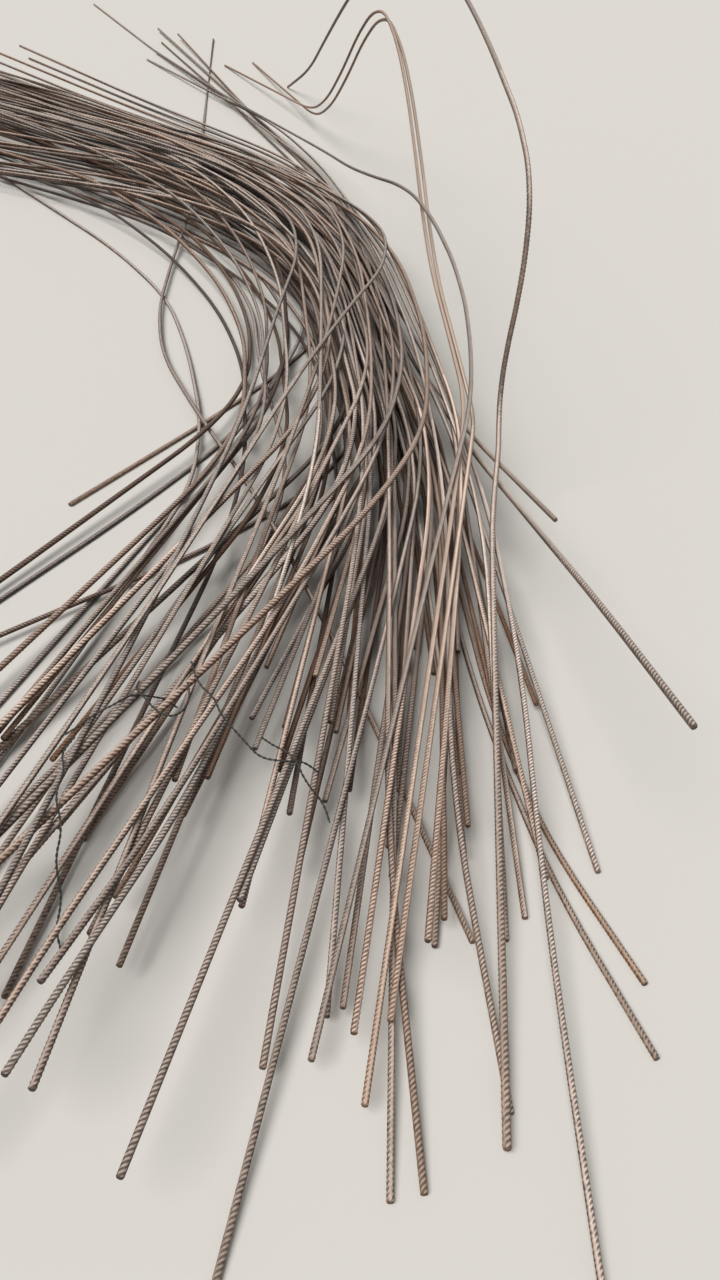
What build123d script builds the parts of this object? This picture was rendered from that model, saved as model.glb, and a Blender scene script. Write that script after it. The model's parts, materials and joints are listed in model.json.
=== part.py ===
"""Rebar bundle: loose deformed bars of one stock length, dropped in a heap along a straight side.

The bars are squeezed together at a waist, fan out towards their near ends, and run along the
straight side before they bend to the left towards their far ends. X = 0 is the straight side,
Y runs away along it, Z is up, and the floor is Z = 0. Each bar has a route seen from above,
and is then let down onto the floor and the bars already lying there. Soft tie wires that once
held the bundle lie loose on top of the fan. All sizes are in millimetres.
"""

import os
from math import atan2, ceil, cos, degrees, hypot, pi, radians, sin, sqrt, tan

import numpy as np
from build123d import *
from scipy.optimize import linprog

os.makedirs("parts", exist_ok=True)

# Stock
STOCK_LENGTH = 6000.0
THIN_BAR = 10.0
THICK_BAR = 12.0
TIE = 3.6  # two strands of 1.8 mm wire twisted together
TIE_SIDES = 6

# A bar has few sides, across which its section keeps the area of the round bar
BURIED_SIDES = 6
OPEN_SIDES = 8
ROUND = 0

# How bars lie
GAP = 0.4  # left between two bars
LIMBER = 1.6e-4  # the tightest that a bar bends under its own weight, one over the radius
STIFF_AS_SET = 0  # a bar that was bent by hand keeps the heights it is given
LOOK_EVERY = 4.0  # spacing of the places where a bar is kept clear of those under it
LONG_RUN = 1100.0
LEAST_TURN = 1.0  # in degrees; a point that turns a bar less than this is left out
TIE_LIMBER = 0.012  # the same for a tie of soft wire
TIE_CLEAR = 2.2  # room for a tie's arcs, which pass inside its corners
ARC_SHARE = 0.45  # of the shorter run beside a corner, taken by the arc of a tie

# Waist, and the bend to the left at the end of the straight side
WAIST_LEFT, WAIST_RIGHT = -335.0, -35.0
WAIST_Y = 2080.0
WAIST_REACH = 350.0  # length of the turn at the waist, each side of its middle
BEND_Y = 3560.0
BEND_REACH = 820.0
NEAREST_SIDE = -70.0  # no near tip of a laid bar comes nearer to the straight side

# Laid bars as (starts, ends, radius) of their runs, the bars of each layer, and the paths of the ties
laid = []
layers = {}
ties = []


def spread(number, ratio):
    """An even spread of values from 0 to 1 with no pattern to it."""
    return (number * ratio) % 1.0


def inner_radius(sides, size):
    """Half the distance across the flats of a bar whose section has the area of a round one."""
    if sides == ROUND:
        return size / 2
    return size / 2 * sqrt(pi / (sides * tan(pi / sides)))


def outer_radius(sides, size):
    """Half the distance across the corners of the same bar."""
    return inner_radius(sides, size) / (cos(pi / sides) if sides else 1)


def rounded(before, corner, after, reach, most_turn):
    """Points that take a bar round one corner in turns of at most most_turn degrees."""
    a, b, c = np.array(before), np.array(corner), np.array(after)
    start = b + (a - b) / np.linalg.norm(a - b) * reach
    end = b + (c - b) / np.linalg.norm(c - b) * reach
    way_in, way_out = atan2(*(b - a)[::-1]), atan2(*(c - b)[::-1])
    turn = degrees(abs((way_out - way_in + pi) % (2 * pi) - pi))
    count = max(1, ceil(turn / most_turn))
    if count == 1:
        return [tuple(b)]
    shares = [(k + 0.5) / count for k in range(count)]
    return [tuple((1 - s) ** 2 * start + 2 * s * (1 - s) * b + s**2 * end) for s in shares]


def far_end(last, used, far_left):
    """The rest of a bar beyond its last point, heading far_left degrees to the left of +Y."""
    rest = STOCK_LENGTH - used
    way = (-sin(radians(far_left)), cos(radians(far_left)))
    parts = max(1, round(rest / LONG_RUN))
    return [(last[0] + way[0] * rest * k / parts, last[1] + way[1] * rest * k / parts)
            for k in range(1, parts + 1)]


def swept_route(tip, waist, bend, far_left, most_turn=14.0):
    """A bar from its near tip through the waist and along the straight side, then round to the left."""
    beyond = (bend[0] - 4000 * sin(radians(far_left)), bend[1] + 4000 * cos(radians(far_left)))
    points = [tip] + rounded(tip, waist, bend, WAIST_REACH, most_turn)
    points += rounded(waist, bend, beyond, BEND_REACH, most_turn)
    route = []
    for a, b in zip(points, points[1:]):
        parts = max(1, round(hypot(b[0] - a[0], b[1] - a[1]) / LONG_RUN))
        route += [tuple(np.array(a) + (np.array(b) - a) * k / parts) for k in range(parts)]
    route.append(points[-1])
    used = sum(hypot(b[0] - a[0], b[1] - a[1]) for a, b in zip(route, route[1:]))
    return route + far_end(route[-1], used, far_left)


def near_tip(waist, swing, tip_y):
    """The near end of a bar that leaves the waist at swing degrees to the left of -Y."""
    return (min(waist[0] - (waist[1] - tip_y) * tan(radians(swing)), NEAREST_SIDE), tip_y)


def lie(route, radius, on_floor, least=0.0, limber=LIMBER):
    """The path of a bar that sinks as low as the floor, the bars under it and its stiffness let it."""
    plan = np.array(route)
    runs = np.linalg.norm(np.diff(plan, axis=0), axis=1)
    count = len(plan)
    lowest = np.maximum(np.full(count, on_floor), least)
    rows, limits = [], []
    if laid:
        start = np.vstack([starts for starts, _, _ in laid])
        end = np.vstack([ends for _, ends, _ in laid])
        thick = np.concatenate([np.full(len(starts), r) for starts, _, r in laid])
    for k in range(count - 1 if laid else 0):
        looks = int(runs[k] / LOOK_EVERY) + 2
        share = np.arange(looks) / (looks - 1)
        spots = plan[k] + share[:, None] * (plan[k + 1] - plan[k])
        low, high = spots.min(0) - 2 * THICK_BAR, spots.max(0) + 2 * THICK_BAR
        near = (np.minimum(start, end)[:, :2] < high) & (np.maximum(start, end)[:, :2] > low)
        s, e, r = start[near.all(1)], end[near.all(1)], thick[near.all(1)]
        if not len(s):
            continue
        along = e - s
        square = (along[:, :2] ** 2).sum(1)
        from_start = spots[:, None] - s[None, :, :2]
        t = np.clip((from_start * along[:, :2]).sum(2) / square, 0, 1)
        aside = np.linalg.norm(from_start - t[:, :, None] * along[:, :2], axis=2)
        clear = radius + r + GAP
        rise = np.sqrt(np.maximum(clear**2 - aside**2, 0)) * np.sqrt(1 + along[:, 2] ** 2 / square)
        need = np.where(aside < clear, s[:, 2] + t * along[:, 2] + rise, 0).max(1)
        for at, height in zip(share[need > radius], need[need > radius]):
            row = np.zeros(count)
            row[k], row[k + 1] = at - 1, -at
            rows.append(row)
            limits.append(-height)
    for k in range(1, count - 1 if limber else 0):
        row = np.zeros(count)
        row[k - 1], row[k + 1] = 1 / runs[k - 1], 1 / runs[k]
        row[k] = -row[k - 1] - row[k + 1]
        rows += [row, -row]
        limits += [limber * (runs[k - 1] + runs[k]) / 2] * 2
    weight = np.convolve(runs, (0.5, 0.5))
    found = linprog(weight, A_ub=rows or None, b_ub=limits or None, bounds=[(v, None) for v in lowest])
    return np.column_stack([plan, found.x])


def turns(path):
    """The turn at each inner point of a path, in degrees."""
    ways = np.diff(path, axis=0)
    ways /= np.linalg.norm(ways, axis=1)[:, None]
    return np.degrees(np.arccos(np.clip((ways[1:] * ways[:-1]).sum(1), -1, 1)))


def lay(layer, route, sides, size=THIN_BAR, least=0.0, limber=LIMBER):
    """Lets a bar down onto the heap as one of a layer's bars, without the points that it doesn't need."""
    radius = outer_radius(sides, size)
    least = np.zeros(len(route)) + least
    path = lie(route, radius, inner_radius(sides, size), least, limber)
    while turns(path).min() < LEAST_TURN:
        needless = int(turns(path).argmin()) + 1
        route, least = np.delete(route, needless, axis=0), np.delete(least, needless)
        path = lie(route, radius, inner_radius(sides, size), least, limber)
    laid.append((path[:-1], path[1:], radius))
    layers.setdefault(layer, []).append(([tuple(p) for p in path], sides, size))


def lay_by_hand(layer, points, far_left, sides=OPEN_SIDES, size=THIN_BAR, limber=LIMBER):
    """Lays a bar along chosen points, each (x, y) or (x, y, least height), up to the stock length."""
    points = [np.array(tuple(p) + (0,) * (3 - len(p)), float) for p in points]
    used = sum(np.linalg.norm(b - a) for a, b in zip(points, points[1:]))
    points += [np.array((*p, 0)) for p in far_end(points[-1], used, far_left)]
    route, least = zip(*[((p[0], p[1]), p[2]) for p in points])
    lay(layer, route, sides, size, least, limber)


def base_bars():
    """Six flat bars under the heap, the ones that swing widest to the left at their near ends."""
    lay_by_hand("base_bars", [(-920, 2100), (-620, 2490), (-430, 2750), (-260, 3060), (-190, 3420),
                              (-280, 3800), (-500, 4130)], 52, BURIED_SIDES)
    lay_by_hand("base_bars", [(-1480, 1160), (-1030, 1760), (-790, 2080), (-560, 2420), (-400, 2780),
                              (-350, 3160), (-420, 3540), (-640, 3870)], 47, BURIED_SIDES)
    lay_by_hand("base_bars", [(-1290, 880), (-870, 1740), (-670, 2160), (-420, 2700), (-300, 3100),
                              (-310, 3500), (-450, 3860)], 40, BURIED_SIDES)
    lay_by_hand("base_bars", [(-1600, 1180), (-1020, 1630), (-650, 1930), (-380, 2200), (-210, 2540),
                              (-170, 3000), (-230, 3500), (-430, 3900)], 45, BURIED_SIDES)
    lay_by_hand("base_bars", [(-1160, 900), (-750, 1540), (-500, 1970), (-350, 2350), (-290, 2900),
                              (-380, 3400), (-580, 3760)], 49, BURIED_SIDES)
    lay_by_hand("base_bars", [(-1320, 660), (-890, 1330), (-560, 1800), (-440, 2200), (-470, 2770),
                              (-450, 3200), (-520, 3560), (-720, 3860)], 41, BURIED_SIDES)


def bowed_bars():
    """Two bars that lie apart on the floor at the left, bowed towards and away from the heap."""
    lay_by_hand("bowed_bars", [(-1420, 340), (-990, 1330), (-790, 1810), (-660, 2180), (-630, 2480),
                               (-650, 2900), (-700, 3250), (-860, 3620)], 33)
    lay_by_hand("bowed_bars", [(-300, 950), (-410, 1560), (-520, 2060), (-640, 2500), (-720, 2850),
                               (-725, 3150), (-670, 3600), (-600, 4000)], -4)


def wall_foot_bars():
    """Two low bars along the straight side, whose near ends turn out to the right."""
    lay_by_hand("wall_foot_bars", [(-65, 865), (-135, 1140), (-150, 1450), (-110, 2100), (-60, 3600),
                                   (-60, 4300)], 12)
    lay_by_hand("wall_foot_bars", [(-90, 750), (-150, 1050), (-170, 1450), (-135, 2100), (-70, 3600),
                                   (-75, 4250)], 14)


def main_bars(layer, count, first, sides, nearest):
    """Bars that run from the near fan through the waist to the bend, each in a lane of its own."""
    for number in range(first, first + count):
        lane, depth = spread(number, 0.618034), spread(number, 0.754878)
        stray, reach = spread(number, 0.569840), spread(number, 0.414214)
        waist = (WAIST_LEFT + (WAIST_RIGHT - WAIST_LEFT) * lane, WAIST_Y + 220 * depth)
        swing = 5 + 17 * (1 - lane) + 18 * (stray - 0.5)
        bend = (-35 - 230 * (1 - lane) - 30 * stray, BEND_Y + 700 * lane + 380 * (depth - 0.5))
        far_left = 41 + 9 * (1 - lane) + 18 * stray
        lay(layer, swept_route(near_tip(waist, swing, nearest + 640 * reach), waist, bend, far_left), sides)


def fan_bars(layer, count, first, sides, nearest, least_swing):
    """Bars that swing from the waist further to the left than the main ones, some of them thick."""
    for number in range(first, first + count):
        lane, stray = spread(number, 0.618034), spread(number, 0.569840)
        waist = (-550 + 470 * lane, WAIST_Y - 40 + 560 * stray)
        swing = least_swing + 22 * spread(number, 0.754878)
        tip = near_tip(waist, swing, nearest + 500 * spread(number, 0.414214))
        bend = (-50 - 400 * (1 - lane), BEND_Y + 640 * lane + 260 * (stray - 0.5))
        size = THICK_BAR if number % 4 == 1 else THIN_BAR
        lay(layer, swept_route(tip, waist, bend, 38 + 8 * (1 - lane) + 12 * stray), sides, size)


def wall_bars():
    """Two bars whose near ends spring up free of the heap, both round right to the end."""
    lay_by_hand("wall_bars", [(-22, 1050, 330), (-22, 1430, 262), (-24, 1870, 172), (-35, 2190, 100),
                              (-60, 2900), (-45, 3700), (-60, 4400)], 14, ROUND, THICK_BAR)
    lay_by_hand("wall_bars", [(-22, 1680, 262), (-24, 1930, 196), (-38, 2190, 120), (-60, 2800),
                              (-50, 3700), (-80, 4500)], 18, ROUND)


def chosen_main_bars():
    """Main bars that stand out on top of the near fan."""
    lay_by_hand("main_bars_6", [(-790, 600), (-510, 1310), (-230, 2050), (-170, 2800), (-120, 3500),
                                (-170, 3950), (-360, 4350)], 45)
    lay_by_hand("main_bars_6", [(-690, 520), (-370, 1460), (-150, 2150), (-80, 3000), (-40, 3700),
                                (-80, 4250), (-260, 4700)], 38)
    lay_by_hand("main_bars_6", [(-620, 760), (-370, 1750), (-290, 2200), (-230, 2900), (-230, 3400),
                                (-330, 3800), (-560, 4150)], 50)
    lay_by_hand("main_bars_6", [(-440, 600), (-410, 1100), (-300, 1780), (-200, 2400), (-90, 3200),
                                (-70, 3850), (-170, 4350), (-430, 4740)], 46)
    lay_by_hand("main_bars_7", [(-310, 690), (-290, 1200), (-150, 1950), (-90, 2600), (-45, 3500),
                                (-60, 4200), (-220, 4700)], 36)
    lay_by_hand("main_bars_7", [(-250, 950), (-80, 1900), (-70, 2500), (-40, 3400), (-70, 4000),
                                (-230, 4480)], 40)
    lay_by_hand("main_bars_7", [(-270, 400), (-200, 950), (-110, 1450), (-75, 1850), (-70, 2300),
                                (-50, 3200), (-30, 4000), (-80, 4600), (-220, 5050)], 24)
    lay_by_hand("main_bars_7", [(-410, 850, 150), (-150, 1820), (-75, 2200), (-65, 2800), (-35, 3600),
                                (-70, 4150), (-240, 4600)], 39)


def chosen_fan_bars():
    """Long bars of the fan whose near ends lie low at its left edge."""
    lay_by_hand("fan_bars_3", [(-886, 696), (-777, 1060), (-655, 1500), (-480, 2060), (-300, 2700),
                               (-180, 3300), (-160, 3750), (-330, 4180)], 47)
    lay_by_hand("fan_bars_3", [(-915, 705), (-860, 815), (-700, 1130), (-560, 1500), (-420, 2000),
                               (-340, 2600), (-270, 3200), (-290, 3650), (-500, 4000)], 52)
    lay_by_hand("fan_bars_3", [(-885, 820), (-735, 1090), (-480, 1600), (-250, 2120), (-130, 2700),
                               (-90, 3400), (-120, 4000), (-330, 4450)], 44)
    lay_by_hand("fan_bars_3", [(-1010, 640), (-895, 865), (-720, 1180), (-520, 1560), (-300, 2080),
                               (-210, 2600), (-140, 3300), (-190, 3850), (-400, 4260)], 48)


def top_bars():
    """Four long bars across the top of the heap: two thick ones and two with a double bend."""
    lay_by_hand("top_bars", [(-1400, 500), (-660, 1490), (-270, 2080), (-160, 2450), (-80, 3000),
                             (-70, 3600), (-160, 4050), (-400, 4430)], 50, size=THICK_BAR)
    lay_by_hand("top_bars", [(-1350, 560), (-690, 1340), (-340, 1790), (-170, 2120), (-90, 2550),
                             (-50, 3100), (-60, 3700), (-160, 4180), (-380, 4560)], 44, size=THICK_BAR)
    lay_by_hand("top_bars", [(-1000, 760), (-750, 1600), (-550, 2300), (-420, 2850), (-340, 3150),
                             (-330, 3400), (-410, 3650), (-600, 3880)], 54)
    lay_by_hand("top_bars", [(-1160, 620), (-800, 1460), (-430, 2350), (-250, 2750), (-110, 3060),
                             (-40, 3400), (-60, 3750), (-180, 4070), (-420, 4340)], 51)


def sprung_bars():
    """Four bars that the heap holds by their ends while their middles spring up in arches."""
    tall_arch = [(-330, 640), (-190, 1300), (-80, 1850), (-30, 2040, 205), (-16, 2110, 226),
                 (-11, 2152, 262), (-10, 2174, 320), (-10, 2180, 390), (-10, 2178, 470),
                 (-10, 2188, 560), (-10, 2222, 650), (-10, 2290, 718), (-10, 2420, 775),
                 (-10, 2790, 860), (-10, 3200, 920), (-10, 3600, 925), (-10, 4000, 870),
                 (-11, 4400, 750), (-14, 4800, 585), (-20, 5200, 385), (-30, 5600, 165)]
    high_arch = [(-500, 700), (-150, 1900), (-60, 2230, 215), (-39, 2520, 238), (-37, 2800, 295),
                 (-37, 2990, 373), (-37, 3180, 475), (-37, 3400, 585), (-37, 3640, 670),
                 (-37, 3900, 706), (-37, 4120, 660), (-38, 4340, 550), (-38, 4600, 380),
                 (-42, 4880, 215), (-55, 5200, 90)]
    second_arch = [(x + 13, y - 40, least[0] - 15) if least else (x + 50, y + 110)
                   for x, y, *least in high_arch]
    low_arch = [(-560, 760), (-165, 1900), (-82, 2130, 222), (-60, 2215, 262), (-54, 2295, 320),
                (-52, 2400, 375), (-52, 2560, 412), (-52, 2800, 425), (-52, 3050, 410),
                (-54, 3300, 365), (-58, 3650, 280), (-65, 4050, 190), (-90, 4500, 115)]
    lay_by_hand("sprung_bars", tall_arch, 8, size=THICK_BAR, limber=STIFF_AS_SET)
    lay_by_hand("sprung_bars", second_arch, 8, limber=STIFF_AS_SET)
    lay_by_hand("sprung_bars", high_arch, 16, limber=STIFF_AS_SET)
    lay_by_hand("sprung_bars", low_arch, 18, limber=STIFF_AS_SET)


def lay_tie(points):
    """Drapes a tie over the bars below it, along chosen points about 40 apart."""
    radius = outer_radius(TIE_SIDES, TIE)
    path = lie(points, radius + TIE_CLEAR, radius, limber=TIE_LIMBER)
    laid.append((path[:-1], path[1:], radius))
    ties.append([tuple(p) for p in path])


def tie_wires():
    """Five loose ties of twisted wire across the near fan: one hangs off it, one ends in a loop."""
    lay_tie([(-864, 1240), (-882, 1206), (-874, 1160), (-886, 1118), (-874, 1080), (-884, 1050),
             (-874, 1022), (-882, 994), (-876, 974)])
    lay_tie([(-886, 1246), (-862, 1258), (-838, 1286), (-806, 1298), (-784, 1322), (-754, 1332),
             (-733, 1356), (-712, 1364)])
    lay_tie([(-772, 1358), (-778, 1332), (-762, 1302), (-752, 1274), (-732, 1256), (-710, 1270),
             (-696, 1300), (-700, 1324)])
    lay_tie([(-694, 1360), (-684, 1324), (-660, 1294), (-652, 1256), (-624, 1232), (-596, 1202),
             (-560, 1192), (-530, 1204), (-504, 1198)])
    lay_tie([(-590, 1242), (-576, 1218), (-546, 1202), (-530, 1168), (-500, 1152), (-492, 1128)])


def build_tie(path):
    """One tie: straight runs joined by arcs that touch them both."""
    runs = np.linalg.norm(np.diff(path, axis=0), axis=1)
    halves = np.radians(turns(path)) / 2
    radii = [ARC_SHARE * min(a, b) / tan(half) for a, b, half in zip(runs, runs[1:], halves)]
    with BuildPart() as tie:
        with BuildLine() as centre:
            FilletPolyline(*path, radius=radii)
        wire = centre.wire()
        with BuildSketch(Plane(origin=wire @ 0, z_dir=wire % 0)):
            RegularPolygon(outer_radius(TIE_SIDES, TIE), TIE_SIDES)
        sweep()
    share = tie.part.volume / (wire.length * pi * TIE**2 / 4)
    print("tie: runs", [round(run) for run in runs], "radii", [round(r) for r in radii],
          "volume over section times length", round(share, 4))
    return tie.part.solid()


def build_bar(path, sides, size):
    """One bar: its section drawn along its path, with a mitre at each turn."""
    with BuildPart() as bar:
        with BuildLine() as centre:
            Polyline(*path)
        wire = centre.wire()
        with BuildSketch(Plane(origin=wire @ 0, x_dir=(0, 0, 1), z_dir=wire % 0)):
            if sides == ROUND:
                Circle(size / 2)
            else:
                RegularPolygon(outer_radius(sides, size), sides, rotation=180 / sides)
        sweep(transition=Transition.RIGHT)
    return bar.part


def sound_bar(path, sides, size):
    """The bar built from its near end, or from its far end where only that gives a closed solid."""
    length = np.linalg.norm(np.diff(path, axis=0), axis=1).sum()
    for route in (path, path[::-1]):
        bar = build_bar(route, sides, size)
        share = bar.volume / (length * pi * size**2 / 4)
        if len(bar.solids()) == 1 and bar.is_valid and abs(share - 1) < 1e-3:
            return bar.solid()
    raise ValueError(f"no closed solid for {path}")


# Lay the heap from the floor up
base_bars()
bowed_bars()
wall_foot_bars()
main_bars("main_bars_1", 8, 0, BURIED_SIDES, 1120)
main_bars("main_bars_2", 8, 8, BURIED_SIDES, 1080)
main_bars("main_bars_3", 8, 16, BURIED_SIDES, 1040)
wall_bars()
fan_bars("fan_bars_1", 8, 0, BURIED_SIDES, 900, 19)
main_bars("main_bars_4", 8, 24, BURIED_SIDES, 980)
main_bars("main_bars_5", 8, 32, BURIED_SIDES, 860)
fan_bars("fan_bars_2", 8, 8, OPEN_SIDES, 680, 14)
main_bars("main_bars_6", 5, 40, OPEN_SIDES, 690)
main_bars("main_bars_7", 4, 45, OPEN_SIDES, 560)
chosen_main_bars()
fan_bars("fan_bars_3", 4, 16, OPEN_SIDES, 470, 14)
chosen_fan_bars()
top_bars()
sprung_bars()
tie_wires()

# Make the solids, and put the middle of the heap's footprint over the origin
solids = {name: [sound_bar(*bar) for bar in bars] for name, bars in layers.items()}
solids["tie_wires"] = [build_tie(path) for path in ties]
boxes = [piece.bounding_box() for pieces in solids.values() for piece in pieces]
low = [min(getattr(box.min, axis) for box in boxes) for axis in "XYZ"]
high = [max(getattr(box.max, axis) for box in boxes) for axis in "XYZ"]
place = Location((-(low[0] + high[0]) / 2, -(low[1] + high[1]) / 2, -low[2]))
for name, pieces in solids.items():
    layer = Compound(label=name, children=[place * piece for piece in pieces])
    export_step(layer, f"parts/{name}.step")
    print(name, len(pieces), "pieces,", round(sum(piece.volume for piece in pieces)), "mm3")
print("moved by", place.position)
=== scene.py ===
"""Rebar bundle: 101 loose rusty deformed bars with five ties, a waist, a near fan and a bend."""

import json

import bmesh
import bpy
import numpy as np
from mathutils import Matrix, Vector


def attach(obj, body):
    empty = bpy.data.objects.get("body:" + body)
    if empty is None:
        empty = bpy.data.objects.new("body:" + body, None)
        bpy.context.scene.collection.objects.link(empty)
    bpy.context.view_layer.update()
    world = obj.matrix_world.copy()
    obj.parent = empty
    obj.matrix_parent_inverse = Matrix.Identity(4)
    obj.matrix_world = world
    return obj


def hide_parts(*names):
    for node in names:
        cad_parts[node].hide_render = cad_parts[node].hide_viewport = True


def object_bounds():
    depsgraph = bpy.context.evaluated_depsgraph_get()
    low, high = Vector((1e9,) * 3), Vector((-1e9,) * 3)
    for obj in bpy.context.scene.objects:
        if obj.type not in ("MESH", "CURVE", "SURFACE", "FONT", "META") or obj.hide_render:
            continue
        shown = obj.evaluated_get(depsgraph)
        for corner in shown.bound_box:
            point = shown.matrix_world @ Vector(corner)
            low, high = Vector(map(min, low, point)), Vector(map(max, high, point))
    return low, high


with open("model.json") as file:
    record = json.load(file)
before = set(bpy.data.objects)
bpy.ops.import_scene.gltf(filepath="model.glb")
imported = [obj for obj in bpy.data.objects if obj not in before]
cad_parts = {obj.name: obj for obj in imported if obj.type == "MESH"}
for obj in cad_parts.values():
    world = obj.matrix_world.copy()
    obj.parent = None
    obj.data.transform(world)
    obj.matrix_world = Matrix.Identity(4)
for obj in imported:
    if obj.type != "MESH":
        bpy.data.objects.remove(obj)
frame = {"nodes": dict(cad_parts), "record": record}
cad_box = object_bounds()

# Camera
# It looks down on the heap along its straight side, from 1.3 m up. Its place is given from the free
# end of the long bar that springs up on the right.
FREE_END = Vector(next(mount["pos_m"] for mount in frame["record"]["mounts"]
                       if mount["name"] == "thick_bar_end"))
FROM_FREE_END = Vector((-0.7474, -1.050, 0.990))
LOOK_DOWN, LOOK_RIGHT, ROLL = np.radians([37.806, 13.910, 8.873])
LENS, SENSOR = 31.766, 36.0  # millimetres
SEES_TO = 200.0
camera = bpy.data.objects.new("camera", bpy.data.cameras.new("camera"))
camera.data.lens = LENS
camera.data.sensor_width = SENSOR
camera.data.clip_end = SEES_TO
aim = Matrix.Rotation(-LOOK_RIGHT, 4, "Z") @ Matrix.Rotation(np.pi / 2 - LOOK_DOWN, 4, "X")
camera.matrix_world = (Matrix.Translation(FREE_END + FROM_FREE_END) @ aim
                       @ Matrix.Rotation(ROLL, 4, "Z"))
bpy.context.scene.collection.objects.link(camera)
bpy.context.scene.camera = camera
bpy.context.scene.view_settings.view_transform = "Standard"

# Floor and light
# A flat pale floor of matt paint that the heap lies on, and a pale surround past its edge. The
# light is a weak even one from all round, and one broad soft lamp high up on the open side.
FLOOR_GREY = (0.72, 0.71, 0.69, 1.0)
FLOOR_ROUGHNESS = 0.9
FLOOR_HALF = 40.0
FLOOR_DROP = 0.0004  # it lies this far below the lowest bars
SURROUND_GREY = (0.74, 0.71, 0.665, 1.0)
EVEN_COLOUR, EVEN_LEVEL = (1.0, 0.985, 0.965, 1.0), 0.23
LAMP_COLOUR, LAMP_LEVEL = (1.0, 0.97, 0.92), 3.02
LAMP_SPREAD = np.radians(34)
LAMP_LEAN, LAMP_SIDEWAYS = np.radians([24, -30])

floor_mesh = bpy.data.meshes.new("studio_floor")
floor_corners = [(x * FLOOR_HALF, y * FLOOR_HALF, -FLOOR_DROP)
                 for x, y in ((-1, -1), (1, -1), (1, 1), (-1, 1))]
floor_mesh.from_pydata(floor_corners, [], [(0, 1, 2, 3)])
floor = bpy.data.objects.new("studio_floor", floor_mesh)
bpy.context.scene.collection.objects.link(floor)
floor_paint = bpy.data.materials.new("studio_floor")
floor_paint.use_nodes = True
paint_shader = floor_paint.node_tree.nodes["Principled BSDF"]
paint_shader.inputs["Base Color"].default_value = FLOOR_GREY
paint_shader.inputs["Roughness"].default_value = FLOOR_ROUGHNESS
floor_mesh.materials.append(floor_paint)

# The surround shows to the camera, in gloss and through glass, and the even light does the lighting
world = bpy.data.worlds.new("studio")
bpy.context.scene.world = world
world.use_nodes = True
world_tree = world.node_tree
even_light = world_tree.nodes["Background"]
even_light.inputs["Color"].default_value = EVEN_COLOUR
even_light.inputs["Strength"].default_value = EVEN_LEVEL
surround = world_tree.nodes.new("ShaderNodeBackground")
surround.inputs["Color"].default_value = SURROUND_GREY
by_ray = world_tree.nodes.new("ShaderNodeMixShader")
rays = world_tree.nodes.new("ShaderNodeLightPath")
seen = rays.outputs["Is Camera Ray"]
for kind in ("Is Glossy Ray", "Is Transmission Ray"):
    either = world_tree.nodes.new("ShaderNodeMath")
    either.operation, either.use_clamp = "ADD", True
    world_tree.links.new(seen, either.inputs[0])
    world_tree.links.new(rays.outputs[kind], either.inputs[1])
    seen = either.outputs[0]
world_tree.links.new(seen, by_ray.inputs["Fac"])
world_tree.links.new(even_light.outputs[0], by_ray.inputs[1])
world_tree.links.new(surround.outputs[0], by_ray.inputs[2])
world_tree.links.new(by_ray.outputs[0], world_tree.nodes["World Output"].inputs["Surface"])

lamp = bpy.data.objects.new("soft_lamp", bpy.data.lights.new("soft_lamp", "SUN"))
lamp.data.energy = LAMP_LEVEL
lamp.data.angle = LAMP_SPREAD
lamp.data.color = LAMP_COLOUR
lamp.rotation_euler = (LAMP_LEAN, LAMP_SIDEWAYS, 0)
bpy.context.scene.collection.objects.link(lamp)

# The bars: reading where they lie, and the surface of one bar
# Hot-rolled deformed bar: a round core with two long ribs on opposite sides and, between them,
# crescent ribs that climb round it like a three-start thread. Cut square at both ends.
THIN, THICK = 0.010, 0.012
THICK_REACH = 0.0058  # the corners of a thick bar of the CAD lie further out than this
LONGEST_SIDE = 0.016  # across a ring of the CAD
RIB_PITCH = 0.0070  # on a thin bar, and in proportion on a thick one
RIB_STARTS = 3
RIB_ROWS = 3  # rows of the surface for each rib: its crest and the hollow beside it
COLUMNS = 8  # round the bar
CORE = 0.885  # radius of the core, as a share of the nominal one
RIB_RISE = 0.14  # height of a crescent rib, as a share of the nominal radius
CRESCENT = 1.5  # a crescent rib is this much steeper than a sine where it runs out
LONG_RIB_RISE = 0.10
AT_LONG_RIB = 0.1  # sine of the angle from a long rib, under which a column is on it
MEAN_RISE = 0.06  # of the stretch whose ribs are in the finish
CHAMFER = 0.10  # drawn in at a cut end, as a share of the nominal radius
CHAMFER_LENGTH = 0.0012
STEP_OUT = 0.002  # from the last ribbed row to the first plain ring
MOST_TWIST = 1.5  # of a bar about its own line, in radians a metre
EASE_SHARE, LONGEST_EASE, EASE_POINTS = 0.45, 0.28, 7
chance = np.random.default_rng(11)


def joined(count, pairs):
    """Labels the groups of things that pairs of numbers join, by handing the least label on."""
    label = np.arange(count)
    while True:
        least = np.minimum(label[pairs[:, 0]], label[pairs[:, 1]])
        after = label.copy()
        np.minimum.at(after, pairs[:, 0], least)
        np.minimum.at(after, pairs[:, 1], least)
        if (after == label).all():
            return np.unique(label, return_inverse=True)[1]
        label = after


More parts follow.
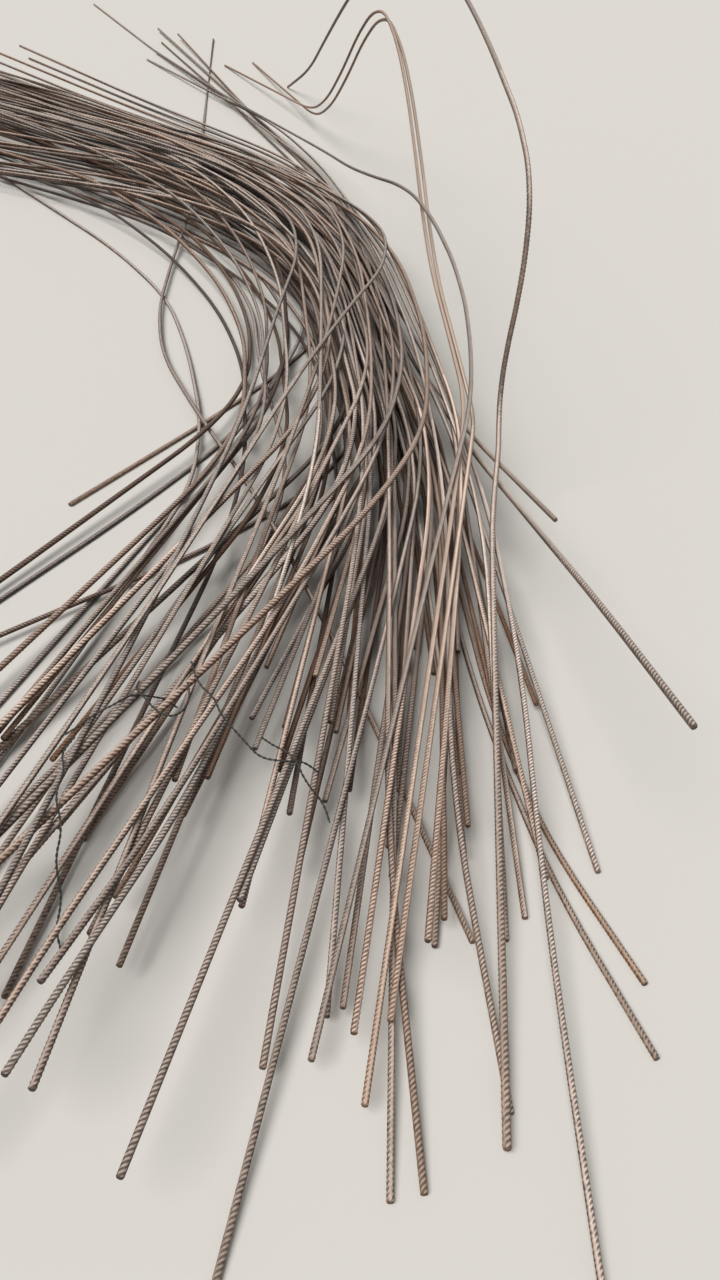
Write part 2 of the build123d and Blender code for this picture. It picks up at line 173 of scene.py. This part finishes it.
def centre_lines(node):
    """Each bar of a node as (points along its middle, nominal radius), from its rings of corners.

    A bar's corners lie in rings, one at each turn. Corners on one ring are joined by short edges,
    and two rings in a row by long ones, so the middles of the rings, in order, are the bar's line.
    """
    mesh = frame["nodes"][node].data
    corners = np.empty(len(mesh.vertices) * 3)
    mesh.vertices.foreach_get("co", corners)
    corners, same = np.unique(np.round(corners.reshape(-1, 3), 5), axis=0, return_inverse=True)
    edges = np.empty(len(mesh.edges) * 2, int)
    mesh.edges.foreach_get("vertices", edges)
    edges = same.ravel()[edges].reshape(-1, 2)
    long = np.linalg.norm(corners[edges[:, 0]] - corners[edges[:, 1]], axis=1) > LONGEST_SIDE
    ring = joined(len(corners), edges[~long])
    size = np.bincount(ring)
    middle = np.stack([np.bincount(ring, corners[:, k]) / size for k in range(3)], 1)
    reach = np.linalg.norm(corners - middle[ring], axis=1)
    links = np.unique(np.sort(ring[edges[long]], axis=1), axis=0)
    bars = []
    bar = joined(len(middle), links)
    for number in range(bar.max() + 1):
        mine = links[bar[links[:, 0]] == number]
        ends = [r for r in np.unique(mine) if (mine == r).sum() == 1]
        here = min(ends, key=lambda r: middle[r][1])
        line, last = [here], -1
        while len(line) < len(mine) + 1:
            near = mine[(mine == here).any(1)]
            last, here = here, next(r for r in near.ravel() if r not in (here, last))
            line.append(here)
        thick = reach[ring == line[0]].mean() > THICK_REACH
        bars.append((middle[line], (THICK if thick else THIN) / 2))
    return sorted(bars, key=lambda found: tuple(found[0][0]))


def eased(line):
    """The bar's line with each corner eased into an arc: its points, and how far along each one is.

    Between the two points at EASE_SHARE of the shorter run from a corner it follows the parabola
    that touches both runs there, so it stays inside the corner.
    """
    runs = np.linalg.norm(np.diff(line, axis=0), axis=1)
    points = [line[0]]
    for k in range(1, len(line) - 1):
        cut = min(EASE_SHARE * min(runs[k - 1], runs[k]), LONGEST_EASE)
        start = line[k] + (line[k - 1] - line[k]) / runs[k - 1] * cut
        end = line[k] + (line[k + 1] - line[k]) / runs[k] * cut
        share = np.linspace(0, 1, EASE_POINTS)[:, None]
        arc = (1 - share) ** 2 * start + 2 * share * (1 - share) * line[k] + share**2 * end
        points += list(arc)
    points = np.array(points + [line[-1]])
    return points, np.concatenate([[0], np.cumsum(np.linalg.norm(np.diff(points, axis=0), axis=1))])


def side_directions(points):
    """The way ahead at each point, and a direction to the side carried along without twisting."""
    ahead = np.gradient(points, axis=0)
    ahead /= np.linalg.norm(ahead, axis=1)[:, None]
    side = np.empty_like(ahead)
    side[0] = np.cross(ahead[0], (0, 0, 1))
    side[0] /= np.linalg.norm(side[0])
    for k in range(1, len(side)):
        side[k] = side[k - 1] - ahead[k] * (side[k - 1] @ ahead[k])
        side[k] /= np.linalg.norm(side[k])
    return ahead, side


def bar_surface(line, radius, ribbed):
    """Corners, faces, UV and facts of one bar.

    The surface is a grid of lengths by angles. Over the first stretch, ribbed metres long, each
    row of the grid climbs round the bar as the ribs do, by RIB_STARTS pitches a turn, so that one
    row in RIB_ROWS is a crest. The crescent ribs fade out at the two long ribs. Beyond it the rows
    are plain rings, and the ribs are left to the finish.
    """
    points, along = eased(line)
    ahead, side = side_directions(points)
    length, pitch = along[-1], RIB_PITCH * 2 * radius / THIN
    step, climb = pitch / RIB_ROWS, RIB_STARTS * RIB_ROWS
    rows = int(ribbed / step)
    end = rows * step
    angle = 2 * np.pi * np.arange(COLUMNS) / COLUMNS

    # Lengths and heights at the corners of the grid
    number = np.arange(-climb, rows + 1)[:, None]
    s = np.clip((number + angle * climb / (2 * np.pi)) * step, 0, end)
    plain = along[along > end + 2 * STEP_OUT]
    plain = np.concatenate([[end + STEP_OUT], plain[:-1], [length - CHAMFER_LENGTH, length]])
    between = np.abs(np.sin(angle))
    rise = np.where(number % RIB_ROWS == 0, RIB_RISE * np.clip(CRESCENT * between, 0, 1), 0)
    rise = np.where(between < AT_LONG_RIB, LONG_RIB_RISE, rise)
    rise = np.where((s > 0) & (s < end), rise, np.where(s > 0, MEAN_RISE, -CHAMFER))
    s = np.vstack([s, np.repeat(plain[:, None], COLUMNS, 1)])
    rise = np.vstack([rise, np.full((len(plain), COLUMNS), MEAN_RISE)])
    rise[-1] = -CHAMFER

    # Places of the corners
    middle = np.stack([np.interp(s, along, points[:, k]) for k in range(3)], 2)
    tangent = np.stack([np.interp(s, along, ahead[:, k]) for k in range(3)], 2)
    out = np.stack([np.interp(s, along, side[:, k]) for k in range(3)], 2)
    out -= tangent * (out * tangent).sum(2, keepdims=True) / (tangent**2).sum(2, keepdims=True)
    out /= np.linalg.norm(out, axis=2, keepdims=True)
    over = np.cross(tangent / np.linalg.norm(tangent, axis=2, keepdims=True), out)
    turn = angle + chance.uniform(0, 2 * np.pi) + chance.uniform(-MOST_TWIST, MOST_TWIST) * s
    outward = out * np.cos(turn)[:, :, None] + over * np.sin(turn)[:, :, None]
    corners = middle + radius * (CORE + rise)[:, :, None] * outward

    # Faces: the last column meets the first one a whole climb further on. Corners that fell
    # together at the ends of the ribbed stretch count as one, and faces with no area are left out.
    last = len(number) - 1
    index = np.arange(s.size).reshape(s.shape)
    for k in range(1, last + 1):
        index[k] = np.where(s[k] == s[k - 1], index[k - 1], index[k])
    row = np.arange(len(s))
    wrapped = np.where(row <= last, np.minimum(row + climb, last), row)
    ahead_column = np.hstack([index[:, 1:], index[wrapped, :1]])
    ahead_s = np.hstack([s[:, 1:], s[wrapped, :1]])
    faces = np.stack([index[:-1], ahead_column[:-1], ahead_column[1:], index[1:]], 2).reshape(-1, 4)
    turns = np.broadcast_to(np.arange(COLUMNS) / COLUMNS, index[1:].shape)
    across = np.stack([turns, turns + 1 / COLUMNS, turns + 1 / COLUMNS, turns], 2).reshape(-1, 4)
    lengths = np.stack([s[:-1], ahead_s[:-1], ahead_s[1:], s[1:]], 2).reshape(-1, 4)
    real = (faces[:, 0] != faces[:, 3]) | (faces[:, 1] != faces[:, 2])
    faces, across, lengths = faces[real], across[real], lengths[real]

    # The two cut ends
    near_ring, far_ring = index[0], index[-1]
    near_middle, far_middle = np.full((2, COLUMNS), [[s.size], [s.size + 1]])
    caps = np.vstack([np.stack([near_middle, np.roll(near_ring, -1), near_ring], 1),
                      np.stack([far_middle, far_ring, np.roll(far_ring, -1)], 1)])
    corners = np.vstack([corners.reshape(-1, 3), middle[0, :1], middle[-1, :1]])
    s = np.append(s.ravel(), [0, length])
    crest = np.append((rise / RIB_RISE).ravel(), [0, 0]).clip(0, 1)
    facts = {"from_end": np.minimum(s, length - s), "crest": crest, "ribbed": (s < end) * 1.0,
             "tone": np.full(len(s), chance.uniform()), "dusty": np.full(len(s), chance.uniform())}

    # Faces with two corners that are one are triangles
    at_low, at_high = faces[:, 0] == faces[:, 3], faces[:, 1] == faces[:, 2]
    uv = np.stack([lengths / pitch, across], 2)
    whole = ~at_low & ~at_high
    three = np.vstack([faces[at_low][:, [0, 1, 2]], faces[at_high][:, [0, 1, 3]], caps])
    three_uv = np.vstack([uv[at_low][:, [0, 1, 2]], uv[at_high][:, [0, 1, 3]],
                          np.zeros((len(caps), 3, 2))])
    return corners, (faces[whole], uv[whole]), (three, three_uv), facts


def bar_piece(name, node, ribbed, finish):
    """One mesh of all the bars of a CAD node, which it stands for, kept inside the CAD's box.

    The first stretch of each bar from its near end, ribbed metres long, has modelled ribs.
    """
    corners, fours, threes, facts, count = [], [], [], [], 0
    for line, radius in centre_lines(node):
        bar_corners, four, three, bar_facts = bar_surface(line, radius, ribbed)
        corners.append(bar_corners)
        fours.append((four[0] + count, four[1]))
        threes.append((three[0] + count, three[1]))
        facts.append(bar_facts)
        count += len(bar_corners)
    corners = np.clip(np.vstack(corners), *cad_box)
    loops = np.concatenate([faces.ravel() for faces, _ in fours + threes])
    uv = np.vstack([places.reshape(-1, 2) for _, places in fours + threes])
    in_use, loops = np.unique(loops, return_inverse=True)
    sides = np.repeat([4, 3], [sum(len(f) for f, _ in fours), sum(len(f) for f, _ in threes)])
    mesh = bpy.data.meshes.new(name)
    mesh.vertices.add(len(in_use))
    mesh.vertices.foreach_set("co", corners[in_use].ravel())
    mesh.loops.add(len(loops))
    mesh.loops.foreach_set("vertex_index", loops.ravel().astype(np.int32))
    mesh.polygons.add(len(sides))
    starts = np.concatenate([[0], np.cumsum(sides)[:-1]])
    mesh.polygons.foreach_set("loop_start", starts.astype(np.int32))
    mesh.uv_layers.new(name="along_and_around").data.foreach_set("uv", uv.ravel())
    for fact in facts[0]:
        values = np.concatenate([bar[fact] for bar in facts])[in_use].astype(np.float32)
        mesh.attributes.new(fact, "FLOAT", "POINT").data.foreach_set("value", values)
    mesh.update(calc_edges=True)
    mesh.polygons.foreach_set("use_smooth", np.ones(len(sides), bool))
    mesh.materials.append(finish)
    piece = bpy.data.objects.new(name, mesh)
    bpy.context.scene.collection.objects.link(piece)
    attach(piece, "root")
    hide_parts(node)
    return piece


# The finish of the bars
# Mill scale gone to rust in the open: each bar has its own tone and its own coat of pale dust.
# Painted shade darkens the hollows between the ribs and a painted highlight lightens their crests,
# and orange rust and soil show at the ends that lie on the ground.
PATCHES, MOTTLE, GRAINS = 5.0, 130.0, 700.0  # how many of each to a metre
RELIEF_SHARE, RIB_SHARE = 0.3, 0.8  # of BUMP_DEPTH, for the rust's relief and for ribs
BUMP_DEPTH = 0.001
SPECULAR = 0.35  # rust is duller than bare steel


def group(name, inputs, outputs):
    """A shader node group with the named inputs and outputs, and its two end nodes."""
    tree = bpy.data.node_groups.new(name, "ShaderNodeTree")
    for label, kind, value in inputs:
        socket = tree.interface.new_socket(label, in_out="INPUT", socket_type="NodeSocket" + kind)
        socket.default_value = value
    for label, kind in outputs:
        tree.interface.new_socket(label, in_out="OUTPUT", socket_type="NodeSocket" + kind)
    return tree, tree.nodes.new("NodeGroupInput"), tree.nodes.new("NodeGroupOutput")


def put(tree, kind, *values, **settings):
    """A node of a tree with its settings, its first inputs linked or set to the values given."""
    node = tree.nodes.new("ShaderNode" + kind)
    for label, setting in settings.items():
        setattr(node, label, setting)
    for socket, value in zip(node.inputs, values):
        if isinstance(value, bpy.types.NodeSocket):
            tree.links.new(value, socket)
        elif value is not None:
            socket.default_value = value
    return node


def math(tree, operation, *values, clamp=False):
    """What a Math node makes of the values."""
    return put(tree, "Math", *values, operation=operation, use_clamp=clamp).outputs[0]


def ramp(tree, value, low, high, to_low=0.0, to_high=1.0):
    """A value eased from to_low at low to to_high at high."""
    node = put(tree, "MapRange", value, low, high, to_low, to_high, interpolation_type="SMOOTHSTEP")
    return node.outputs[0]


def mixed(tree, share, first, second, blend="MIX"):
    """The first colour blended with the second one by a share."""
    node = put(tree, "Mix", data_type="RGBA", blend_type=blend)
    factor, colour_a, colour_b = node.inputs[0], node.inputs[6], node.inputs[7]
    for socket, value in ((factor, share), (colour_a, first), (colour_b, second)):
        if isinstance(value, bpy.types.NodeSocket):
            tree.links.new(value, socket)
        else:
            socket.default_value = value
    return node.outputs[2]


def noise(tree, place, scale, detail=4.0, roughness=0.55):
    """A noise of 0 to 1 at a place, with scale features to a metre."""
    node = put(tree, "TexNoise")
    for label, value in (("Scale", scale), ("Detail", detail), ("Roughness", roughness)):
        node.inputs[label].default_value = value
    tree.links.new(place, node.inputs["Vector"])
    return node.outputs["Fac"]


def rolled_ribs():
    """Height of the ribs at a place on the bar.

    It is a three-start thread that fades out at the two long ribs.
    """
    tree, given, made = group("rolled_ribs", [("Along", "Float", 0.0), ("Around", "Float", 0.0)],
                              [("Height", "Float")])
    along, around = given.outputs[:2]
    phase = math(tree, "SUBTRACT", along, math(tree, "MULTIPLY", around, float(RIB_STARTS)))
    from_crest = math(tree, "ABSOLUTE", math(tree, "SUBTRACT", math(tree, "FRACT", phase), 0.5))
    crest = ramp(tree, from_crest, 0.22, 0.42)
    between = math(tree, "ABSOLUTE", math(tree, "SINE", math(tree, "MULTIPLY", around, 2 * np.pi)))
    crescent = math(tree, "MULTIPLY", crest, math(tree, "MULTIPLY", between, CRESCENT, clamp=True))
    long_rib = ramp(tree, between, 0.0, 0.3, 0.6, 0.0)
    tree.links.new(math(tree, "MAXIMUM", crescent, long_rib), made.inputs[0])
    return tree


def rust_and_dust():
    """Colour, roughness and small relief of rusted bar, from the bar's tone, ribs and dirt, with
    painted shade in the rib hollows.
    """
    tree, given, made = group(
        "rust_and_dust",
        [("Place", "Vector", (0, 0, 0)), ("Tone", "Float", 0.5), ("Dusty", "Float", 0.5),
         ("Rib", "Float", 0.0), ("Up", "Float", 0.0), ("From End", "Float", 1.0),
         ("Dust", "Float", 1.0), ("Scale Colour", "Color", (0.1, 0.08, 0.07, 1)),
         ("Rust Colour", "Color", (0.2, 0.11, 0.07, 1)),
         ("Orange Colour", "Color", (0.3, 0.14, 0.06, 1)),
         ("Dust Colour", "Color", (0.5, 0.4, 0.3, 1)),
         ("Soil Colour", "Color", (0.3, 0.24, 0.2, 1))],
        [("Color", "Color"), ("Roughness", "Float"), ("Relief", "Float")])
    place, tone, dusty, rib, up, from_end, dust = given.outputs[:7]
    scale_colour, rust_colour, orange_colour, dust_colour, soil_colour = given.outputs[7:12]
    patches = noise(tree, place, PATCHES)
    mottle = noise(tree, place, MOTTLE, 5.0, 0.65)
    grains = noise(tree, place, GRAINS, 2.0)

    # Places within 1 to 9 cm of the floor, and within 5 to 90 cm of a cut end
    low = ramp(tree, put(tree, "SeparateXYZ", place).outputs[2], 0.01, 0.09, 1.0, 0.0)
    at_end = ramp(tree, from_end, 0.05, 0.9, 1.0, 0.0)
    patchy = math(tree, "SUBTRACT", mottle, 0.5)

    # From dark scale over brown rust to orange rust
    rusted = math(tree, "MULTIPLY_ADD", tone, 1.1, ramp(tree, patches, 0.3, 0.7, -0.35, 0.35))
    rusted = math(tree, "MULTIPLY_ADD", patchy, 1.3, rusted, clamp=True)
    colour = mixed(tree, rusted, scale_colour, rust_colour)
    orange = math(tree, "MULTIPLY", at_end, math(tree, "MULTIPLY_ADD", low, 0.75, 0.12), clamp=True)
    orange = math(tree, "MULTIPLY", orange, ramp(tree, math(tree, "ADD", mottle, patchy), 0.2, 0.7))
    colour = mixed(tree, orange, colour, orange_colour)

    # Dust on top, thinner in the rib hollows as painted shade, and soil where an end lies on the
    # ground
    dust_and_rib_shade = math(tree, "MULTIPLY_ADD", patchy, 1.4, ramp(tree, up, 0.22, 1.05))
    # Painted shade: less dust in the hollows between the ribs and more on their crests
    dust_and_rib_shade = math(tree, "MULTIPLY", dust_and_rib_shade, ramp(tree, rib, 0.05, 0.6, 0.6, 1.1))
    dust_and_rib_shade = math(tree, "MULTIPLY", dust_and_rib_shade, math(tree, "MULTIPLY_ADD", dusty, 0.6, 0.6))
    dust_and_rib_shade = math(tree, "MULTIPLY", dust_and_rib_shade, ramp(tree, from_end, 0.1, 1.3, 0.62, 1.0))
    dust_and_rib_shade = math(tree, "MULTIPLY", dust_and_rib_shade, dust, clamp=True)
    colour = mixed(tree, dust_and_rib_shade, colour, dust_colour)
    soil = math(tree, "MULTIPLY", low, at_end)
    soil = math(tree, "MULTIPLY", soil, ramp(tree, patches, 0.4, 0.6))
    soil = math(tree, "MULTIPLY", soil, ramp(tree, mottle, 0.42, 0.6, 0.0, 0.8))
    colour = mixed(tree, soil, colour, soil_colour)
    # Painted shade darkens the hollows between the ribs and a painted highlight lightens their
    # crests; the grains vary it at random
    painted_rib_shade_and_grain = math(tree, "MULTIPLY", ramp(tree, rib, 0.05, 0.5, 0.46, 1.12),
                 ramp(tree, grains, 0.3, 0.7, 0.80, 1.18))
    colour = mixed(tree, 1.0, colour, painted_rib_shade_and_grain, "MULTIPLY")

    # Some bars are greyer and some browner than others
    greyer = ramp(tree, tone, 0.0, 1.0, 0.68, 1.10)
    brighter = ramp(tree, dusty, 0.0, 1.0, 0.90, 1.08)
    varied = put(tree, "HueSaturation", 0.506, greyer, brighter, 1.0, colour)
    tree.links.new(varied.outputs[0], made.inputs["Color"])
    tree.links.new(ramp(tree, dust_and_rib_shade, 0.0, 1.0, 0.6, 0.93), made.inputs["Roughness"])
    relief = math(tree, "MULTIPLY_ADD", mottle, 0.7, math(tree, "MULTIPLY", grains, 0.3))
    tree.links.new(math(tree, "ADD", relief, soil), made.inputs["Relief"])
    return tree


RIBS, WEATHER = rolled_ribs(), rust_and_dust()


def bar_finish(name, dust, **colours):
    """Rusted bar steel with a share of dust on it.

    Ribs that aren't modelled are raised here, by bump, in the same places as the modelled ones.
    """
    finish = bpy.data.materials.new(name)
    finish.use_nodes = True
    tree = finish.node_tree
    shader = tree.nodes["Principled BSDF"]
    facts = {fact: put(tree, "Attribute", attribute_name=fact).outputs["Fac"]
             for fact in ("from_end", "crest", "ribbed", "tone", "dusty")}
    uv = put(tree, "SeparateXYZ", put(tree, "UVMap", uv_map="along_and_around").outputs[0]).outputs
    ribs = put(tree, "Group")
    ribs.node_tree = RIBS
    tree.links.new(uv[0], ribs.inputs["Along"])
    tree.links.new(uv[1], ribs.inputs["Around"])
    drawn = math(tree, "MULTIPLY", ribs.outputs[0], math(tree, "SUBTRACT", 1.0, facts["ribbed"]))
    modelled = math(tree, "MULTIPLY", facts["crest"], facts["ribbed"])
    weather = put(tree, "Group")
    weather.node_tree = WEATHER
    up = put(tree, "SeparateXYZ", put(tree, "NewGeometry").outputs["Normal"]).outputs[2]
    place = put(tree, "TexCoord").outputs["Object"]
    for label, value in (("Place", place), ("Tone", facts["tone"]), ("Dusty", facts["dusty"]),
                         ("Rib", math(tree, "ADD", drawn, modelled)), ("Up", up),
                         ("From End", facts["from_end"])):
        tree.links.new(value, weather.inputs[label])
    weather.inputs["Dust"].default_value = dust
    for label, value in colours.items():
        weather.inputs[label.replace("_", " ").title()].default_value = (*value, 1.0)
    height = math(tree, "MULTIPLY_ADD", weather.outputs["Relief"], RELIEF_SHARE,
                  math(tree, "MULTIPLY", drawn, RIB_SHARE))
    bump = put(tree, "Bump")
    bump.inputs["Strength"].default_value = 1.0
    bump.inputs["Distance"].default_value = BUMP_DEPTH
    tree.links.new(height, bump.inputs["Height"])
    tree.links.new(weather.outputs["Color"], shader.inputs["Base Color"])
    tree.links.new(weather.outputs["Roughness"], shader.inputs["Roughness"])
    tree.links.new(bump.outputs[0], shader.inputs["Normal"])
    shader.inputs["Specular IOR Level"].default_value = SPECULAR
    return finish


weathered = bar_finish(
    "weathered_bar", 1.0, scale_colour=(0.056, 0.031, 0.023), rust_colour=(0.134, 0.062, 0.037),
    orange_colour=(0.30, 0.145, 0.07), dust_colour=(0.78, 0.628, 0.560),
    soil_colour=(0.29, 0.215, 0.165))
# A darker copy for bars low in the heap: less dust, and darker colours as painted shade
sheltered_and_shaded = bar_finish(
    "shaded_sheltered_bar", 0.6, scale_colour=(0.034, 0.018, 0.013), rust_colour=(0.100, 0.044, 0.026),
    orange_colour=(0.28, 0.110, 0.04), dust_colour=(0.42, 0.310, 0.265),
    soil_colour=(0.27, 0.200, 0.155))
standing = bar_finish(
    "standing_bar", 1.0, scale_colour=(0.120, 0.083, 0.067), rust_colour=(0.255, 0.160, 0.115),
    orange_colour=(0.36, 0.165, 0.07), dust_colour=(0.68, 0.550, 0.485),
    soil_colour=(0.29, 0.215, 0.165))

# Bars on the ground
# The first ones down: six flat bars that swing wide to the left, two bowed ones that lie apart, and
# two along the straight side. Only their near ends show ribs close to.
bar_piece("flat_bars", "base_bars", 0.7, weathered)
bar_piece("bowed_bars_apart", "bowed_bars", 1.0, weathered)
bar_piece("straight_side_pair", "wall_foot_bars", 1.1, weathered)

# Buried main bars
# Five layers of eight thin bars that make up the body of the heap, held by the weight of those
# above. The lower three have less dust and darker colours as painted shade, and show only short
# stretches of their near ends.
for layer, ribbed, finish in ((1, 0.3, sheltered_and_shaded), (2, 0.3, sheltered_and_shaded), (3, 0.4, sheltered_and_shaded),
                              (4, 0.7, weathered), (5, 0.9, weathered)):
    bar_piece(f"main_layer_{layer}", f"main_bars_{layer}", ribbed, finish)

# Fan bars
# Three layers of eight bars, five of the 24 thick, that swing left from the waist. They lie loose
# between the main layers and on them, and the upper ones show their ribs far up.
# The lowest fan layer takes the darker finish, painted shade as well as less dust
for layer, ribbed, finish in ((1, 0.8, sheltered_and_shaded), (2, 1.2, weathered), (3, 1.6, weathered)):
    bar_piece(f"fan_layer_{layer}", f"fan_bars_{layer}", ribbed, finish)

# Upper main bars
# Nine and eight thin bars that stand out on top of the near fan, loose and open to the weather,
# with their ribs in full view.
for layer in (6, 7):
    bar_piece(f"main_layer_{layer}", f"main_bars_{layer}", 1.6, weathered)

# Bars across the top, bars with a free end, and sprung arches
# Two thick and two thin bars over everything else, two whose near ends spring up free of the heap,
# and four whose middles stand up in arches because the heap holds them by their ends.
bar_piece("bars_across_the_top", "top_bars", 1.9, weathered)
bar_piece("free_ended_bars", "wall_bars", 1.5, standing)
bar_piece("sprung_arches", "sprung_bars", 2.4, standing)

# Tie wires
# Black annealed wire, two strands twisted together. The ties once held the bundle, and now lie
# loose across the near fan.
STRAND = 0.0019  # thickness of one strand
TWIST = 0.017  # length of one turn of the strands about each other
STRAND_SIDES = 6
STRAND_STEP = 0.0015
TUBE_RADIUS = 0.00198  # of a tie in the CAD, out to its corners
MARK_STEP = 0.004
BLUR = 0.003  # how far along a mark's neighbours still count
WIRE_BLACK = (0.018, 0.022, 0.023, 1.0)
WIRE_RUST = (0.085, 0.040, 0.022, 1.0)
WIRE_DUST = (0.30, 0.26, 0.23, 1.0)
WIRE_PATCHES, WIRE_GRAIN = 60.0, 900.0  # how many of each to a metre
WIRE_BUMP = 0.0001


def tie_lines(node):
    """The middle line of each tie of a node, as points MARK_STEP apart.

    A corner of the tube less its radius along its normal lies on the middle line, as far along as
    the shortest way over the tube's edges from one end. Each mark is the mean of those near it.
    """
    tube = bmesh.new()
    tube.from_mesh(frame["nodes"][node].data)
    bmesh.ops.remove_doubles(tube, verts=tube.verts, dist=1e-5)
    corners = np.array([corner.co for corner in tube.verts])
    centres = corners - TUBE_RADIUS * np.array([corner.normal for corner in tube.verts])
    tube.verts.index_update()
    pairs = np.array([[corner.index for corner in edge.verts] for edge in tube.edges])
    tube.free()
    length = np.linalg.norm(corners[pairs[:, 0]] - corners[pairs[:, 1]], axis=1)
    tie = joined(len(corners), pairs)
    lines = []
    for number in range(tie.max() + 1):
        mine = np.where(tie == number)[0]
        first = mine[np.linalg.norm(corners[mine] - corners[mine].mean(0), axis=1).argmax()]
        way = np.full(len(corners), np.inf)
        way[first], before = 0, None
        while before is None or (way != before).any():
            before = way.copy()
            np.minimum.at(way, pairs[:, 0], before[pairs[:, 1]] + length)
            np.minimum.at(way, pairs[:, 1], before[pairs[:, 0]] + length)
        marks = np.arange(0, way[mine].max(), MARK_STEP)
        near = np.exp(-(((marks[:, None] - way[mine]) / BLUR) ** 2))
        lines.append(near @ centres[mine] / near.sum(1, keepdims=True))
    return lines


def strand(line, start):
    """Corners and faces of one strand round the middle line of a tie, from the given turn on."""
    along = np.concatenate([[0], np.cumsum(np.linalg.norm(np.diff(line, axis=0), axis=1))])
    s = np.linspace(0, along[-1], int(along[-1] / STRAND_STEP))
    middle = np.stack([np.interp(s, along, line[:, k]) for k in range(3)], 1)
    ahead, side = side_directions(middle)
    turn = start + 2 * np.pi * s[:, None] / TWIST
    wound = middle + STRAND / 2 * (side * np.cos(turn) + np.cross(ahead, side) * np.sin(turn))
    ahead, side = side_directions(wound)
    angle = 2 * np.pi * np.arange(STRAND_SIDES)[:, None] / STRAND_SIDES
    out = side[:, None] * np.cos(angle) + np.cross(ahead, side)[:, None] * np.sin(angle)
    corners = (wound[:, None] + STRAND / 2 * out).reshape(-1, 3)
    ring = np.arange(len(corners)).reshape(-1, STRAND_SIDES)
    faces = np.stack([ring[:-1], np.roll(ring[:-1], -1, 1), np.roll(ring[1:], -1, 1), ring[1:]], 2)
    return corners, faces.reshape(-1, 4).tolist() + [ring[0, ::-1].tolist(), ring[-1].tolist()]


tie_corners, tie_faces, tie_count = [], [], 0
for line in tie_lines("tie_wires"):
    for start in (0, np.pi):
        corners, faces = strand(line, start)
        tie_faces += [[corner + tie_count for corner in face] for face in faces]
        tie_corners.append(corners)
        tie_count += len(corners)
tie_mesh = bpy.data.meshes.new("tie_strands")
tie_mesh.from_pydata(np.clip(np.vstack(tie_corners), *cad_box).tolist(), [], tie_faces)
tie_mesh.polygons.foreach_set("use_smooth", [len(face) == 4 for face in tie_faces])

# Its finish is oxide black, brown with rust in patches, and has a little dust on top
annealed = bpy.data.materials.new("annealed_wire")
annealed.use_nodes = True
wire_tree = annealed.node_tree
wire_shader = wire_tree.nodes["Principled BSDF"]
wire_place = put(wire_tree, "TexCoord").outputs["Object"]
wire_up = put(wire_tree, "SeparateXYZ", put(wire_tree, "NewGeometry").outputs["Normal"]).outputs[2]
grain = noise(wire_tree, wire_place, WIRE_GRAIN, 3.0)
rusty = ramp(wire_tree, noise(wire_tree, wire_place, WIRE_PATCHES), 0.48, 0.68, 0.0, 0.55)
wire_colour = mixed(wire_tree, rusty, WIRE_BLACK, WIRE_RUST)
dusted = math(wire_tree, "MULTIPLY", ramp(wire_tree, wire_up, 0.3, 1.0),
              ramp(wire_tree, grain, 0.45, 0.7, 0.0, 0.22))
wire_colour = mixed(wire_tree, dusted, wire_colour, WIRE_DUST)
wire_bump = put(wire_tree, "Bump")
wire_bump.inputs["Distance"].default_value = WIRE_BUMP
wire_tree.links.new(grain, wire_bump.inputs["Height"])
wire_tree.links.new(wire_colour, wire_shader.inputs["Base Color"])
wire_tree.links.new(ramp(wire_tree, grain, 0.3, 0.7, 0.44, 0.70), wire_shader.inputs["Roughness"])
wire_tree.links.new(wire_bump.outputs[0], wire_shader.inputs["Normal"])
tie_mesh.materials.append(annealed)
tie_strands = bpy.data.objects.new("tie_strands", tie_mesh)
bpy.context.scene.collection.objects.link(tie_strands)
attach(tie_strands, "root")
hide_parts("tie_wires")
